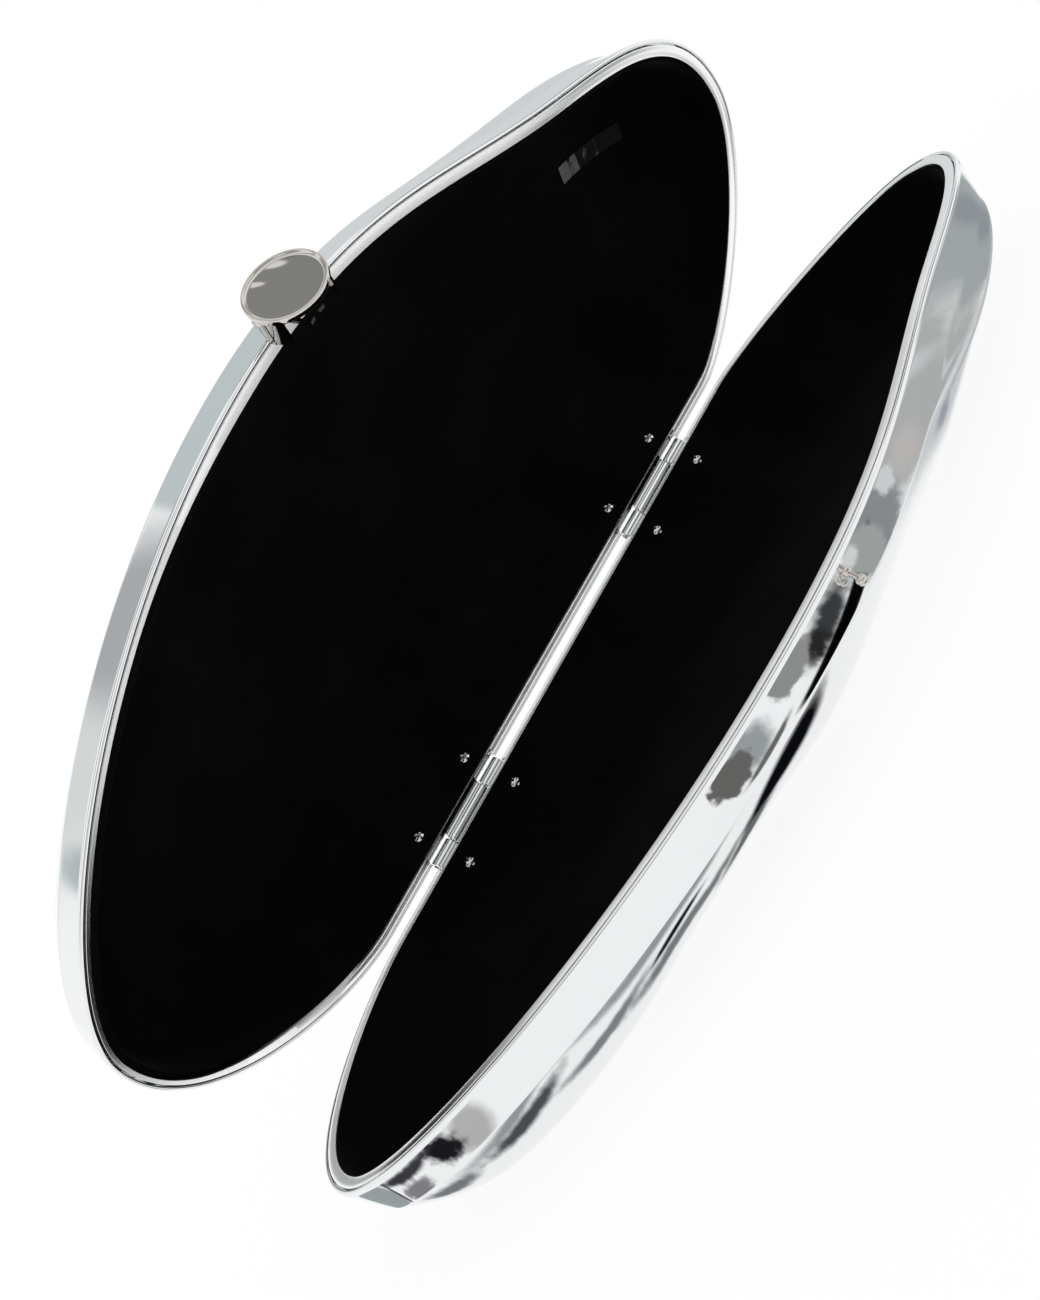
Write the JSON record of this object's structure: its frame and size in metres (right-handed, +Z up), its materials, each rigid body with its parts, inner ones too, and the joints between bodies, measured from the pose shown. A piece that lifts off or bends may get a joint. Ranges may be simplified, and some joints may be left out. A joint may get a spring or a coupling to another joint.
{
  "type": "clutch bag",
  "caption": "Hard-shell evening clutch: two mirror-bright metal halves on box hinges, lined with velvet, closed by a round snap clasp.",
  "frame": {"origin": "the flat crown of the base's outer face, which the case lies on, below the middle between the hinges' ends and half way from the hinge line to the front", "axes": "+X along the hinge line towards the far hinge, +Y from the front catch back to the hinges, +Z up out of the base's mouth"},
  "size_m": [0.2138, 0.1054, 0.1096],
  "materials": {
    "mirror_chrome": "mirror polish, bright silver plate",
    "polished_steel": "bright plated small hardware",
    "velvet_lining": "deep black velvet on card",
    "clear_film": "thin clear film, unprinted"
  },
  "bodies": {
    "base": {"base_shell": "mirror_chrome", "base_rim": "mirror_chrome", "base_lining_wall": "velvet_lining", "base_lining_floor": "velvet_lining", "base_hinge_leaf_far": "mirror_chrome", "base_hinge_leaf_near": "mirror_chrome", "base_hinge_screw_far_a": "polished_steel", "base_hinge_screw_far_b": "polished_steel", "base_hinge_screw_near_a": "polished_steel", "base_hinge_screw_near_b": "polished_steel", "hinge_pin_far": "polished_steel", "hinge_pin_near": "polished_steel", "catch_stud": "mirror_chrome"},
    "lid": {"lid_shell": "mirror_chrome", "lid_rim": "mirror_chrome", "lid_lining_wall": "velvet_lining", "lid_lining_floor": "velvet_lining", "lid_hinge_leaf_far": "mirror_chrome", "lid_hinge_leaf_near": "mirror_chrome", "lid_hinge_screw_far_a": "polished_steel", "lid_hinge_screw_far_b": "polished_steel", "lid_hinge_screw_near_a": "polished_steel", "lid_hinge_screw_near_b": "polished_steel", "clasp_cap": "mirror_chrome", "clasp_block": "mirror_chrome", "clasp_screw_a": "polished_steel", "clasp_screw_b": "polished_steel", "clasp_jaw_pin_a": "polished_steel", "clasp_jaw_pin_b": "polished_steel", "film_tab": "clear_film"},
    "jaw_a": {"clasp_jaw_a": "polished_steel"},
    "jaw_b": {"clasp_jaw_b": "polished_steel"}
  },
  "joints": [
    {"name": "lid_hinge", "type": "hinge", "parent": "base", "child": "lid", "pos_m": [0, 0.048, 0.02035], "axis": [-1, 0, 0], "range_deg": [-58.4, 121.6]},
    {"name": "jaw_a_pivot", "type": "hinge", "parent": "lid", "child": "jaw_a", "pos_m": [-0.00135, -0.0029, 0.10194], "axis": [0, -0.524, 0.8517], "range_deg": [0, 5], "stiffness_Nm_per_rad": 0.02},
    {"name": "jaw_b_pivot", "type": "hinge", "parent": "lid", "child": "jaw_b", "pos_m": [-0.00625, -0.0029, 0.10194], "axis": [0, -0.524, 0.8517], "range_deg": [-5, 0], "stiffness_Nm_per_rad": 0.02}
  ]
}
